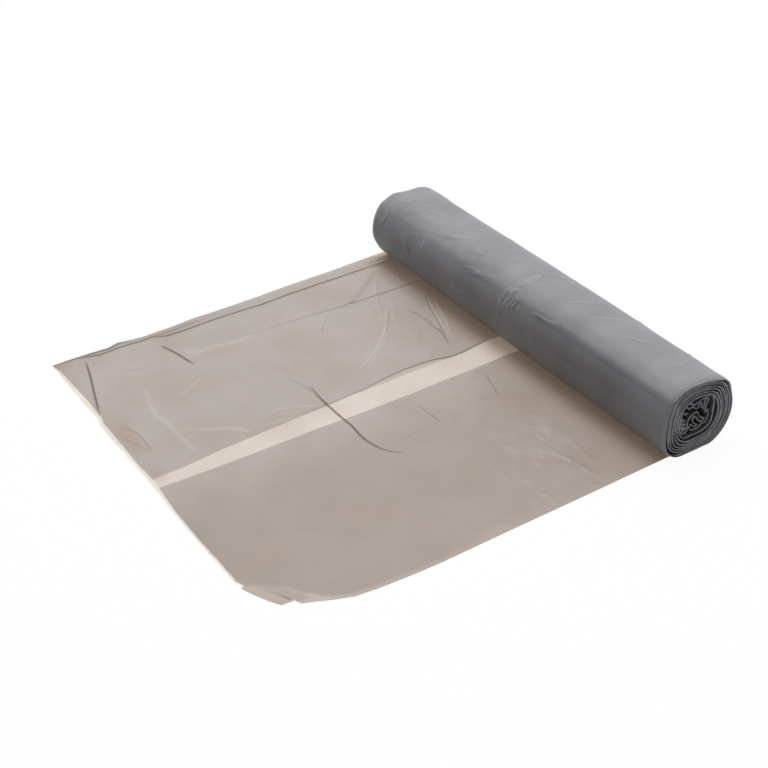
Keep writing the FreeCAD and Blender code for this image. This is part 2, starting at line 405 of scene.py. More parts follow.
def distance_along(u, v, line):
    """Signed distance from each place to a line, and how far along the line it is."""
    best = np.full(u.shape, 1e9)
    side = np.zeros(u.shape)
    along = np.zeros(u.shape)
    steps = np.linalg.norm(np.diff(line, axis=0), axis=1)
    start = np.concatenate([[0], np.cumsum(steps)]) / steps.sum()
    for i, length in enumerate(steps):
        a = line[i]
        direction = (line[i + 1] - a) / length
        t = np.clip((u - a[0]) * direction[0] + (v - a[1]) * direction[1], 0, length)
        away_u = u - a[0] - t * direction[0]
        away_v = v - a[1] - t * direction[1]
        away = np.hypot(away_u, away_v)
        nearer = away < best
        best = np.where(nearer, away, best)
        side = np.where(nearer, np.sign(direction[0] * away_v - direction[1] * away_u), side)
        along = np.where(nearer, start[i] + t / length * (start[i + 1] - start[i]), along)
    return best * side, along


def add_creases(u, v, creases, height, away=None, painted_shading=None):
    """Add each crease (kind, places, height, width, darkness) to the fields.

    away is the signed distance from the strongest crease, as a share of its line's width,
    and the shading field holds its painted shade there, below zero a painted highlight where the
    crease is pale.
    """
    for kind, places, rise, width, darkness in creases:
        line = through(places, 5)
        # A crease has died away at four times its width
        room = 4 * max(width, 1.0)
        near = ((u > line[:, 0].min() - room) & (u < line[:, 0].max() + room)
                & (v > line[:, 1].min() - room) & (v < line[:, 1].max() + room))
        if not near.any():
            continue
        distance, along = distance_along(u[near], v[near], line)
        taper = np.clip(np.sin(np.pi * np.clip(along, 0.0, 1.0)) * 1.8, 0, 1)
        share = distance / width
        if kind == "ridge":
            shape = np.exp(-np.abs(share) ** 1.2)
        elif kind == "wave":
            shape = np.exp(-share ** 2)
        elif kind == "step":
            shape = 0.5 + 0.5 * np.tanh(share * 2)
            shape = shape * np.exp(-np.maximum(share, 0) / 4)
        else:
            shape = 0.45 * np.exp(-share ** 2) + 1.3 * share * np.exp(-share ** 2 * 1.2)
        height[near] += rise * shape * taper
        # Darkness above zero paints shade along the crease, and below zero a painted highlight
        if darkness > 0:
            strength = darkness * np.sqrt(taper) * (1 - smoothstep(1.1, 2.0, np.abs(distance)))
            paint_shading_line(away, painted_shading, near, distance / (0.7 + 0.7 * darkness), strength)
        elif darkness < 0:
            paint_shading_line(away, painted_shading, near, distance / (0.5 * width ** 1.5), darkness * np.sqrt(taper))


def paint_shading_line(away, painted_shading, near, new_away, new_dark):
    """Put a painted line, of shade or of highlight, into the fields where it is stronger than what
    is there.
    """
    old = np.abs(painted_shading[near]) * np.exp(-CREASE_FADE * away[near] ** 2)
    new = np.abs(new_dark) * np.exp(-CREASE_FADE * new_away ** 2)
    away[near] = np.where(new > old, new_away, away[near])
    painted_shading[near] = np.where(new > old, new_dark, painted_shading[near])


def random_creases(seed, count, low, high, length, rise, lean):
    """Short creases at seeded places between the corners low and high.

    length and rise are (least, most), and lean is their angle's (middle, spread).
    """
    dice = random.Random(seed)
    creases = []
    for _ in range(count):
        u, v = dice.uniform(low[0], high[0]), dice.uniform(low[1], high[1])
        turn = math.radians(dice.gauss(*lean))
        half = dice.uniform(*length) / 2
        du, dv = half * math.cos(turn), half * math.sin(turn)
        bow = dice.uniform(-0.15, 0.15)
        places = [(u - du, v - dv), (u - dv * bow, v + du * bow), (u + du, v + dv)]
        kind = dice.choice(("ridge", "fold", "wave"))
        creases.append((kind, places, dice.uniform(*rise), dice.uniform(1.0, 2.6), 0))
    return creases


# The roll's own shape

def roll_middle():
    """Depth and height of the roll's axis."""
    sizes = bpy.context.scene.roll_sizes
    y = CAD_HIGH.y / MM - (sizes.width / 2 + sizes.swell) / MM
    return y, (sizes.height - sizes.flat_sink) / 2 / MM


# The roll's outline seen from its near end, as (degrees up from the back, radius at the far
# end, radius at the near end). The near end's upper back corner is drawn in, and its other
# three corners stand out.
SECTION = [
    (-180, 29.2, 27.9), (-160, 29.1, 29.7), (-140, 29.2, 31.6), (-120, 28.7, 30.0),
    (-100, 26.3, 26.8), (-80, 26.3, 26.8), (-60, 28.2, 29.3), (-40, 29.9, 30.8),
    (-20, 29.7, 31.2), (0, 28.7, 29.9), (20, 29.1, 28.5), (40, 29.9, 28.4),
    (60, 28.0, 26.5), (80, 25.3, 25.6), (100, 25.6, 26.2), (120, 28.0, 29.0),
    (131, 29.0, 30.3), (139, 29.6, 31.2), (144, 29.7, 30.9), (151, 29.7, 29.7),
    (163, 29.6, 28.7), (180, 29.2, 27.9),
]
SECTION_LINE = through(SECTION)


def turn_radius(angle, inset, x):
    """Distance from the axis to a turn that lies inset below the surface, at x."""
    degrees = np.degrees(angle)
    far = np.interp(degrees, SECTION_LINE[:, 0], SECTION_LINE[:, 1], period=360)
    near = np.interp(degrees, SECTION_LINE[:, 0], SECTION_LINE[:, 2], period=360)
    share = 0.5 + np.asarray(x) * MM / bpy.context.scene.roll_sizes.length
    # Each turn has the outline's own shape, only smaller
    middling_radius = 28.5
    return (far + (near - far) * share) * (1 - inset / middling_radius)


def end_bulge(x, angle):
    """How far the lower turns stand out at the near end."""
    most = 1.4
    return most * smoothstep(138.0, 156.0, x) * np.maximum(-np.sin(angle), 0) ** 2


def end_flare(x, degrees, half):
    """How much wider the roll is near its ends, which are at half from the middle.

    The far end flares, but is drawn in at its top. The upper back corner stands out near
    both ends.
    """
    from_far, from_near = x + half, half - x
    flare = 0.6 * np.exp(-from_far / 16.0)
    flare += np.exp(-from_far / 8.0) * (0.8 * bell(degrees, 175, 35) - 1.2 * bell(degrees, 80, 30))
    flare += 0.9 * bell(degrees, 50, 30) * bell(x, -138, 14)
    flare += 0.9 * np.exp(-from_near / 5.0) * bell(degrees, 35, 18)
    return flare


def settle(y, z):
    """Flatten the underside on the floor, and lift it over the film that passes under it.

    y and z are measured from the roll's axis.
    """
    sizes = bpy.context.scene.roll_sizes
    sink = sizes.flat_sink / MM
    lowest = -(sizes.height + sizes.flat_sink) / 2 / MM
    depth = z - lowest
    pressed = np.where(depth < 2 * sink, np.maximum(depth, 0) ** 2 / (4 * sink), depth - sink)
    film_below = 0.45
    over_film = film_below * (1 - smoothstep(5, 11, y))
    return lowest + sink + pressed + over_film * (1 - smoothstep(0, 14, depth))


# Creases of the roll's skin, as (kind, places, height, width, darkness). A place is
# (millimetres along the roll, degrees up from the back), and below zero a crease gets a
# painted highlight, a pale line.
ROLL_CREASES = [
    ("ridge", [(-1.0, 166), (1.5, 154), (4.0, 142)], 0.68, 1.1, -0.6),
    ("fold", [(2.0, 164), (5.0, 152), (8.0, 140)], 0.68, 1.1, -0.6),
    ("ridge", [(-3.5, 166), (-4.0, 156), (-2.5, 144), (-0.5, 134)], 0.68, 1.1, -0.6),
    ("ridge", [(0.0, 145), (3.5, 136), (6.5, 132)], 0.68, 1.1, -0.6),
    ("fold", [(6.0, 156), (9.0, 150), (9.5, 140)], 0.68, 1.2, -0.6),
    ("ridge", [(1.0, 136), (3.0, 124), (4.5, 108), (4.0, 87)], 0.75, 1.3, -0.6),
    ("ridge", [(4.5, 129), (7.0, 112), (6.0, 94)], 0.52, 1.1, -0.6),
    ("ridge", [(-1.0, 129), (0.5, 116), (3.0, 92)], 0.45, 1.1, -0.6),
    ("ridge", [(-3.5, 178), (-5.0, 170)], 0.45, 1.1, -0.6),
    ("ridge", [(13.0, 158), (14.0, 150)], 0.45, 1.1, -0.6),
    ("wave", [(4.0, 74), (11.0, 66), (19.5, 67), (34.5, 66)], 0.5, 1.6, -0.2),
    ("ridge", [(6.5, 68), (19.0, 52), (39.5, 50)], 0.3, 1.4, -0.35),
    ("fold", [(24.0, 148), (32.0, 145), (41.0, 144), (49.5, 140)], 0.41, 1.3, -0.35),
    ("ridge", [(30.0, 144), (37.0, 146), (44.0, 146), (50.5, 142)], 0.3, 1.1, -0.35),
    ("fold", [(40.5, 109), (46.5, 88), (53.5, 68)], 0.45, 1.8, -0.2),
    ("wave", [(52.5, 62), (63.5, 63), (76.5, 65)], 0.4, 2, -0.2),
    ("fold", [(64.5, 104), (71.0, 88), (76.5, 68)], 0.4, 1.8, -0.2),
    ("fold", [(92.5, 112), (94.0, 100), (100.5, 92), (108.5, 85)], 0.6, 1.8, -0.2),
    ("fold", [(-80.0, 123), (-73.5, 115), (-64.0, 107)], 0.38, 1.4, -0.35),
    ("ridge", [(-52.0, 124), (-48.0, 119), (-40.0, 115)], 0.38, 1.3, -0.35),
    ("fold", [(-48.5, 147), (-41.0, 142), (-32.0, 142)], 0.41, 1.3, -0.35),
    ("ridge", [(-46.0, 150), (-38.0, 147), (-30.0, 140)], 0.34, 1.1, -0.35),
    ("ridge", [(-38.5, 150), (-32.5, 145), (-24.5, 140), (-16.5, 138)], 0.38, 1.2, -0.35),
    ("ridge", [(-27.0, 146), (-22.0, 145), (-17.5, 144)], 0.3, 1.1, -0.35),
    ("wave", [(-117.0, 106), (-108.0, 98), (-101.0, 93)], 0.4, 1.8, -0.2),
    ("wave", [(-86.0, 96), (-79.0, 82), (-71.0, 74)], 0.4, 1.8, -0.2),
    ("fold", [(-110.0, 153), (-107.5, 146), (-102.5, 147)], 0.25, 1.4, -0.12),
    ("fold", [(-96.5, 163), (-96.0, 150), (-96.5, 138)], 0.41, 1.4, -0.25),
    ("ridge", [(-104.0, 158), (-104.5, 147)], 0.34, 1.2, -0.25),
    ("wave", [(-117.5, 152), (-115.0, 166), (-110.0, 179)], 0.6, 3, 0),
    ("wave", [(-143.0, 118), (-136.5, 112), (-137.5, 96)], 0.5, 2.4, 0),
    ("ridge", [(-58.0, 185), (-48.5, 183), (-38.5, 178)], 0.26, 1.4, -0.35),
    ("fold", [(-62.0, 105), (-72.0, 121), (-88.0, 131), (-108.0, 141)], 0.3, 3, 0),
    ("wave", [(146.0, 83), (136.0, 92), (124.5, 103)], 0.35, 3, 0),
    ("fold", [(-136.0, 96), (-133.0, 118), (-137.0, 140)], 0.4, 3, 0),
    ("fold", [(-146.0, 120), (-142.0, 146), (-146.0, 170)], 0.4, 3, 0),
    ("wave", [(-124.0, 84), (-120.0, 104), (-123.0, 124)], 0.35, 3, 0),
    ("wave", [(-20.0, 78), (-23.0, 96), (-20.0, 112)], 0.28, 3, 0),
    ("fold", [(-60.0, 20), (-52.0, 42), (-57.0, 66)], 0.4, 2.4, 0),
    ("fold", [(72.0, 10), (80.0, 34), (76.0, 62)], 0.4, 2.4, 0),
    ("ridge", [(10.0, 30), (16.0, 48), (12.0, 70)], 0.32, 1.8, -0.2),
    ("fold", [(-118.0, 8), (-110.0, 30), (-116.0, 58)], 0.38, 2.2, 0),
    ("fold", [(128.0, -4), (120.0, 22), (126.0, 48)], 0.38, 2.2, 0),
    ("ridge", [(-20.0, -8), (-4.0, 6), (14.0, 10)], 0.32, 1.8, -0.2),
]


def build_wound_roll(material):
    """The outside of the roll: a wrinkled skin whose ends turn in to a deep recess."""
    sizes = bpy.context.scene.roll_sizes
    bm = bmesh.new()
    bmesh.ops.create_grid(bm, x_segments=396, y_segments=236, size=1.0)
    flat = np.array([vert.co[:2] for vert in bm.verts])
    half = sizes.length / 2 / MM - 0.1
    # The rows of faces are closer together near the ends
    share = np.sin(flat[:, 0] * math.pi / 2) * 0.3 + flat[:, 0] * 0.7
    x = share * half
    turned = np.degrees((flat[:, 1] + 1) * math.pi)
    degrees = (turned + 70) % 360 - 70
    angle = np.radians(degrees)
    swell = sizes.swell / MM * (1 - share ** 2)
    shoulder = smoothstep(half - 4.0, half, np.abs(x)) ** 2
    radius = turn_radius(angle, 0.9 * shoulder - swell, x)

    # Soft unevenness, longer round the roll than along it
    ring_y, ring_z = 27 * np.cos(angle), 27 * np.sin(angle)
    soft = rough(x, ring_y * 0.25, ring_z * 0.25, 19.0, 1) * 0.3
    soft += rough(x, ring_y * 0.4, ring_z * 0.4, 7.0, 2) * 0.07

    # Creases, for which the skin is unrolled flat
    height = np.zeros(x.shape)
    away = np.full(x.shape, NO_CREASE)
    painted_shading = np.zeros(x.shape)
    placed = [(kind, [(px, turned_by * MM_PER_DEGREE) for px, turned_by in places], rise,
               width * 0.75, darkness) for kind, places, rise, width, darkness in ROLL_CREASES]
    placed += random_creases(6, 60, (-150, 20), (60, 72), (10, 34), (0.06, 0.17), (-27, 12))
    placed += random_creases(5, 170, (-154, -32), (154, 135), (6, 22), (0.04, 0.15), (75, 28))
    # Creases whose darkness is below zero paint highlights along the roll's skin
    add_creases(x, degrees * MM_PER_DEGREE, placed, height, away, painted_shading)

    # The ends are puckered. The skin starts a little in, so that wrinkles don't widen it
    pucker = np.exp(-(x + half) / 9.0) * rough(0, ring_y, ring_z, 9.0, 3) * 0.7
    pucker += np.exp(-(half - x) / 6.0) * rough(0, ring_y, ring_z, 12.0, 4) * 0.25
    wrinkles = (soft + height * 0.9) * (1 - 0.6 * shoulder)
    radius = radius + wrinkles + pucker + end_flare(x, degrees, half) - 0.3

    middle_y, middle_z = roll_middle()
    y = radius * np.cos(angle)
    z = radius * np.sin(angle) + swell * smoothstep(-10, 15, radius * np.sin(angle)) * 0.5
    z = middle_z + settle(y, z)
    move_points(bm, x + end_bulge(x, angle), middle_y + y, z)
    set_fields(bm, {"away": away, "painted_shading": painted_shading})
    bmesh.ops.remove_doubles(bm, verts=bm.verts, dist=0.001)

    # Each end turns in over a rounded rim and goes down into the recess, in steps that go
    # so far inwards and so much deeper
    rim_steps = ((0.3, -0.06), (0.3, 0.25), (0.1, 2.0), (0.0, sizes.end_depth / MM - 2.2))
    for side in (-1, 1):
        rim = [edge for edge in bm.edges if edge.is_boundary and edge.verts[0].co.x * side > 0]
        for inward, deeper in rim_steps:
            ring = bmesh.ops.extrude_edge_only(bm, edges=rim)["geom"]
            rim = [item for item in ring if isinstance(item, bmesh.types.BMEdge)]
            for vert in ring:
                if isinstance(vert, bmesh.types.BMVert):
                    out = Vector((0, vert.co.y - middle_y, vert.co.z - middle_z))
                    vert.co -= out.normalized() * inward
                    vert.co.x -= side * deeper
        bmesh.ops.edgeloop_fill(bm, edges=rim)
    bmesh.ops.recalc_face_normals(bm, faces=bm.faces)
    return finish_piece("wound_roll", bm, material)


# Where the film goes once it has left the innermost turn, measured from the axis:
# along the bottom, up the back, down in a sag, and back and forth as a crushed core
CORE_PATH = [
    (-4.5, -12.6), (1.0, -12.8), (6.0, -12.2), (10.5, -10.4), (12.6, -6.0), (12.9, 0.0),
    (12.4, 6.5), (10.8, 10.4), (6.5, 11.2), (2.0, 10.2), (-2.5, 8.6), (-5.0, 9.6),
    (-8.0, 11.6), (-12.2, 12.0), (-13.2, 8.5), (-12.8, 4.2), (-13.2, 1.0), (-11.4, 0.4),
    (-9.4, -0.6), (-11.6, -1.3), (-12.9, -2.4), (-10.8, -3.0), (-8.4, -3.6), (-11.0, -4.6),
    (-12.6, -5.8), (-10.2, -6.2), (-7.6, -6.6), (-10.4, -7.8), (-11.8, -9.2), (-9.0, -10.2),
    (-6.6, -8.2), (-6.8, -5.0), (-6.0, -2.0), (-4.0, 0.6), (-1.0, 1.6), (1.6, 0.6),
    (2.0, -2.0), (4.4, -4.2), (6.8, -5.4), (4.6, -6.6), (2.2, -5.4), (0.4, -2.6),
    (-1.4, -0.8), (-2.8, -3.0), (-1.6, -5.6), (0.6, -7.6), (-1.8, -8.0), (-3.6, -5.8),
    (-4.8, -7.8), (-3.0, -10.4), (1.6, -10.6), (5.0, -8.8), (8.6, -9.0), (10.6, -5.0),
    (10.2, -1.0), (8.2, -2.4), (8.0, 1.4), (8.9, 4.6), (9.2, 7.6), (7.4, 8.6), (6.6, 5.0),
    (6.2, 1.6), (4.6, 3.2), (4.0, 6.6), (2.0, 6.0), (1.4, 3.6), (-1.0, 4.6), (-3.2, 6.6),
    (-5.4, 5.2), (-7.2, 7.4), (-9.8, 8.0), (-10.4, 5.2), (-8.4, 2.8), (-6.6, 3.4),
]


def build_turns(name, side, material):
    """The turns and the crushed core that show at one end, as one ribbon of film."""
    sizes = bpy.context.scene.roll_sizes
    per_turn = 132
    steps = int(sizes.turns * per_turn)
    pitch, growth = sizes.first_pitch / MM, sizes.pitch_growth / MM
    turn = np.arange(steps) / per_turn
    start_degrees, first_inset = -126, 2.35
    angle = math.radians(start_degrees) + 2 * math.pi * turn
    pitch_here = pitch + growth * turn
    inset = first_inset + pitch * turn + growth * turn ** 2 / 2
    inset += rough(turn * 5.0, 0, 0, 1.0, 11 + side) * 0.15 * pitch_here
    end_x = side * (sizes.length / 2 / MM - 0.5)
    radius = turn_radius(np.arctan2(np.sin(angle), np.cos(angle)), inset, end_x)
    spiral = np.stack([radius * np.cos(angle), radius * np.sin(angle)], -1)
    core_stretch = 1.06
    core = through([(y * core_stretch, z) for y, z in CORE_PATH], 7)
    line = np.vstack([spiral, core])
    # How far in each place is, from 0 outermost to 1, and half the thickness of its film
    share = np.concatenate([turn / sizes.turns * 0.8, np.linspace(0.82, 1.0, len(core))])
    film = np.concatenate([pitch_here * (0.32 - 0.02 * turn),
                           np.linspace(0.42, 0.38, len(core))])
    heading = np.gradient(line, axis=0)
    heading /= np.linalg.norm(heading, axis=1)[:, None]
    outward = np.stack([heading[:, 1], -heading[:, 0]], -1)

    # Across the ribbon as a share of half its thickness, and down from its edge: two leaves
    section = [(0.0, 12.4), (-1.0, 12.0), (-1.0, 4.0), (-1.0, 1.2), (-0.85, 0.3),
               (-0.5, 0.0), (-0.15, 0.35), (0.05, 0.7), (0.25, 0.3), (0.6, 0.05),
               (0.9, 0.4), (1.0, 1.2), (1.0, 4.0), (1.0, 12.0), (0.0, 12.4)]
    bm = bmesh.new()
    bmesh.ops.create_grid(bm, x_segments=len(line) - 1, y_segments=len(section) - 1, size=1.0)
    flat = np.array([vert.co[:2] for vert in bm.verts])
    step = np.rint((flat[:, 0] + 1) / 2 * (len(line) - 1)).astype(int)
    row = np.rint((flat[:, 1] + 1) / 2 * (len(section) - 1)).astype(int)
    across = np.array([place[0] for place in section])[row]
    down = np.array([place[1] for place in section])[row]
    mm_per_step = 0.9
    walked = step * mm_per_step
    across = across * (1 + 0.25 * rough(walked, across * 2, 0, 7.0, 41 + side))
    # The film leans a little as it goes in, the more so in the core
    lean = rough(walked, 0, 0, 26.0, 51 + side) * (0.03 + 0.10 * share[step] ** 3) * down
    y = line[step, 0] + outward[step, 0] * (across * film[step] + lean)
    z = line[step, 1] + outward[step, 1] * (across * film[step] + lean)

    # Some turns stand out and some have slipped in
    slip = 0.55 + 0.7 * rough(share[step] * 9.0, 0, 0, 1.0, 21 + side)
    slip += 0.3 * rough(walked, across * 3, 0, 12.0, 31 + side)
    slip += 2.6 * smoothstep(0.75, 1.0, share[step])
    slip = np.maximum(slip, 0.08)
    x = side * (sizes.length / 2 / MM - slip - down)
    x += end_bulge(end_x, np.arctan2(z, y))
    middle_y, middle_z = roll_middle()
    move_points(bm, x, middle_y + y, middle_z + settle(y, z))
    # The cut edge is pale with a painted highlight, and painted shade makes the film darker the
    # deeper one sees between the turns
    set_fields(bm, {"cut": np.exp(-down / 0.38)})
    bmesh.ops.remove_doubles(bm, verts=bm.verts, dist=0.0001)
    bmesh.ops.holes_fill(bm, edges=[edge for edge in bm.edges if edge.is_boundary], sides=0)
    bmesh.ops.recalc_face_normals(bm, faces=bm.faces)
    return finish_piece(name, bm, material)


# The loose bag. Its lines are (along the roll, out from the roll's axis), where the bag's near
# edge is at about 155 and its far edge at about -292

REAR_EDGE = [(-158.8, 8), (-158.8, -16), (-157.8, -42), (-156.4, -67), (-156.3, -86),
             (-155.9, -107), (-154.6, -129), (-154.2, -149), (-153.9, -168), (-154.3, -183),
             (-152.7, -199), (-152.2, -216), (-152.0, -224), (-153.2, -234), (-154.9, -242),
             (-152.5, -250), (-153.2, -263), (-153.5, -277), (-153.0, -295)]
REAR_FOLD = [(-145.6, 8), (-145.6, -14), (-143.7, -33), (-143.6, -64), (-143.5, -87),
             (-143.2, -110), (-141.7, -135), (-142.7, -154), (-142.9, -173), (-141.9, -193),
             (-142.4, -210), (-147.4, -219), (-146.6, -228), (-147.5, -237), (-147.5, -248),
             (-146.5, -258), (-149.5, -268), (-149.0, -295)]
STRIP_REAR = [(-11.6, 8), (-11.6, -15), (-12.9, -27), (-11.9, -39), (-10.1, -53),
              (-9.7, -64), (-9.6, -82), (-9.5, -145),
              (-8.0, -162), (-7.0, -207), (-5.5, -240), (-2.8, -270), (-2.5, -295)]
STRIP_NEAR = [(10.0, 8), (10.0, -20), (10.5, -70), (10.8, -120), (10.5, -157),
              (9.3, -182), (8.8, -245), (8.0, -268), (6.8, -295)]
NEAR_EDGE = [(154.8, 8), (155.0, -82), (154.8, -145), (154.9, -190), (154.4, -206),
             (153.5, -220), (152.5, -233), (150.7, -246), (146.3, -257.4), (142.2, -265.7),
             (139.2, -272.5), (139.2, -295)]
GUSSET_LINE = [(-11.6, 8), (-11.6, -15), (-12.9, -27), (-11.9, -39), (-10.1, -53),
               (-10.4, -64), (-13.2, -73), (-14.6, -84), (-14.8, -100), (-13.6, -117),
               (-10.6, -134), (-9.7, -160), (-9.0, -295)]
SECOND_FOLD = [(-106.0, 8), (-106.4, -33), (-106.3, -54), (-107.0, -75), (-108.3, -95),
               (-110.1, -118), (-111.3, -141), (-113.0, -157), (-114.3, -178), (-118.0, -230),
               (-122.0, -295)]
FAR_EDGE = [(-152, -291.0), (-139, -291.1), (-119, -291.7), (-100, -291.8), (-79, -291.3),
            (-72, -293.2), (-56, -293.7), (-39, -293.4), (3, -293.5), (38, -294.8),
            (60, -295.0), (104, -294.6), (111, -292.0), (117, -286.0), (125, -279.6),
            (134.6, -275.4), (139.2, -273.0)]
# Width of the hem along the far edge, where the film is single
HEM_WIDTH = [(-152, 1.2), (-140, 2.2), (-118, 3.0), (-100, 3.4), (-80, 2.6), (-60, 3.0),
             (-40, 2.5), (-20, 2.1), (0, 3.0), (18, 2.0), (30, 1.6), (100, 1.6), (110, 1.0),
             (118, 0.5), (138, 0.5)]

# Creases of the bag, as (kind, places, height, width, darkness). The darkness paints shade
# along the crease, and below zero one gets a painted highlight, a pale line.
BAG_CREASES = [
    ("fold", [(-134.1, -219.2), (-125.2, -216.4), (-115.3, -214.2), (-105, -212.3),
              (-99.8, -211)], 1.0, 1.3, 0.95),
    ("step", [(-145.3, -270), (-124.8, -275.6), (-103.4, -282.3), (-81.3, -288.9)],
     0.6, 1.0, 0.95),
    ("fold", [(-34.9, -159.5), (-24.9, -161.6), (-9.5, -162.6), (9.2, -162.5), (19.3, -162.1),
              (32.2, -163.4), (42.4, -162.2), (52, -159.1), (61.9, -150)], 0.9, 1.2, 0.95),
    ("ridge", [(-48.7, -167.7), (-42.7, -164.7), (-34.4, -163.2), (-24.7, -163.4)],
     0.3, 1.0, 0.3),
    ("fold", [(18.4, -55.7), (34.8, -61), (46.8, -65.2)], 0.5, 1.1, 0.45),
    ("fold", [(23.2, -114.1), (35.4, -113.8), (48, -112.6)], 0.5, 1.1, 0.42),
    ("fold", [(142.1, -76), (147.5, -74.4), (152.8, -70.2)], 0.3, 1.2, 0.3),
    ("fold", [(-138, -39.4), (-129.1, -51.8), (-118.9, -64.9), (-111.8, -75.9),
              (-105.9, -86.3)], 1.3, 1.8, 0.5),
    ("fold", [(-101.4, -102.1), (-95.1, -110.1), (-85.4, -119.6)], 0.5, 1.6, 0.3),
    ("ridge", [(-151.8, -232), (-152.4, -243), (-150.9, -251), (-151.5, -263), (-151.9, -277),
               (-151.7, -290)], 0.1, 0.8, 0.95),
    ("ridge", [(-148.5, -180), (-148.5, -186), (-147.6, -198), (-147.1, -209),
               (-148.1, -218)], 0.15, 0.8, 0.6),
    ("ridge", [(55.0, -22), (40.0, -26), (24.0, -29), (13.0, -30)], 0.3, 1.2, 0.1),
    ("ridge", [(-87.5, -64), (-73.6, -72.8), (-59.1, -85.4), (-45.3, -100.7),
               (-35.8, -115.9), (-32.1, -126.1)], 0.9, 1.2, -0.3),
    ("ridge", [(-124.4, -48.1), (-104.8, -59.6), (-86.7, -68.7), (-74, -76.3)], 0.7, 1.0, -0.2),
    ("ridge", [(-92.8, -55.1), (-75.7, -64.4), (-52.8, -76.1)], 0.6, 1.0, -0.2),
    ("ridge", [(-89.2, -27.5), (-70.4, -34.9), (-51.6, -41.2), (-35.1, -46.8)], 1.0, 1.0, -0.65),
    ("ridge", [(-88.0, -29.5), (-69.5, -36.9), (-50.8, -43.2), (-34.6, -48.6)], 0.1, 0.8, 0.5),
    ("ridge", [(-86.4, -23.4), (-66.1, -31.7), (-49.3, -37.8), (-33.5, -45.7)], 1.0, 1.0, -0.5),
    ("fold", [(-76.6, -53.3), (-70.7, -49.7), (-60.8, -48.6), (-55, -46.1)], 0.8, 1.3, 0.5),
    ("fold", [(-57.2, -49.4), (-46.8, -49.2), (-38.9, -49.4), (-24, -53.8)], 0.8, 1.2, 0.6),
    ("ridge", [(-104.1, -49.4), (-84.2, -64.5), (-62.4, -81), (-53.3, -91)], 0.5, 1.1, -0.15),
    ("ridge", [(-63.8, -78.4), (-51.3, -89.6), (-37.1, -107.1), (-27.4, -120.6)], 0.5, 1.1, -0.15),
    ("fold", [(63.3, -63.5), (69.3, -63.1), (75.9, -59.6), (81.8, -59.3)], 0.35, 1.4, 0.1),
    ("fold", [(78.7, -74.1), (88.6, -71.8), (98.3, -69.5)], 0.35, 1.4, 0.1),
    ("fold", [(95.8, -81.1), (107.1, -80.1), (115.6, -75.3), (128.8, -71.2), (145, -70)],
     0.4, 1.7, 0.1),
    ("ridge", [(86.5, -54.4), (100.9, -57.7), (113.9, -58.4), (126, -60.2), (137.8, -61.9)],
     0.3, 1.6, 0),
    ("ridge", [(130.5, -72.6), (139.6, -68.6), (148.6, -64.7)], 0.4, 1.4, 0),
    ("fold", [(-60.4, -284.4), (-55.2, -279.6), (-45.6, -277.6), (-34.9, -277.7),
              (-27.3, -278.3)], 0.4, 1.4, 0.3),
    ("ridge", [(-52.8, -288.1), (-42.2, -284.4), (-33.4, -281.4), (-26.5, -279)],
     0.3, 1.1, 0.2),
    ("wave", [(-94.9, -251.2), (-80, -255.5), (-62.2, -259), (-46.7, -257), (-27.2, -256.5),
              (-9.3, -255.6)], 0.5, 3.6, -0.14),
    ("wave", [(-39.1, -251.9), (-29.7, -240.2), (-21.6, -226.3), (-11.1, -216.8)],
     0.5, 3.6, -0.14),
    ("ridge", [(-82.5, -215.1), (-74.7, -230.3), (-71.2, -238.3)], 0.3, 2.0, -0.12),
    ("ridge", [(-24.1, -196.8), (-20.5, -183), (-11.4, -167.6)], 0.4, 2.0, -0.15),
    ("ridge", [(-13.8, -210.6), (-10.4, -195.4), (-7.2, -178.3)], 0.4, 2.0, -0.15),
    ("wave", [(-123.8, -210), (-112.4, -204.7), (-111.8, -190.2), (-108.8, -174.9),
              (-110.4, -160.7)], 0.4, 4.0, -0.14),
    ("fold", [(-120.3, -253), (-115.3, -243), (-115.5, -230.4)], 0.35, 1.4, 0.2),
    ("wave", [(-92.5, -167.5), (-90, -181)], 0.4, 2.0, 0),
    ("wave", [(-65, -170), (-71, -195)], 0.25, 3.0, 0),
    ("wave", [(-47.5, -160), (-77.5, -165)], 0.4, 2.5, 0),
    ("fold", [(101.2, -219.3), (108.5, -216.8), (117.3, -213.9)], 0.35, 1.2, 0.15),
    ("fold", [(66.7, -269.8), (74.6, -261.7), (84.8, -255)], 0.35, 1.4, 0.1),
    ("wave", [(30, -263.8), (60, -261)], 0.4, 2.0, 0),
    ("wave", [(20, -80), (47.5, -105), (72.5, -130)], 0.6, 4.0, 0),
    ("wave", [(51.5, -132.9), (69.9, -160.3), (83.9, -184)], 0.5, 3.8, 0),
    ("ridge", [(47.5, -130), (48, -137.5), (50, -146)], 0.3, 1.2, 0.2),
    ("wave", [(80, -116), (105, -114.5), (127.5, -113)], 0.35, 2.0, 0),
    ("wave", [(117.5, -277.5), (142.5, -260)], 0.7, 2.4, 0),
]


# The bands of the bag between its lines, from the rear edge to the near edge
REAR_BAND, REAR_HALF, PALE_STRIP, NEAR_HALF = range(4)


def at_depth(line, y):
    """Where a line of the bag is at the depth y."""
    line = sorted(line, key=lambda place: place[1])
    return np.interp(y, [place[1] for place in line], [place[0] for place in line])


def column_places():
    """Columns of the bag's grid, as (band, share of the band's width from its rear).

    Two columns lie close together at the rear fold and at each edge of the pale strip,
    which are sharp.
    """
    columns = [(REAR_BAND, share) for share in np.linspace(0, 0.97, 12)]
    columns += [(REAR_HALF, share) for share in np.linspace(0, 0.9985, 134)]
    columns += [(PALE_STRIP, share) for share in np.linspace(0, 0.988, 18)]
    columns += [(NEAR_HALF, share) for share in np.linspace(0, 1, 132)]
    return columns


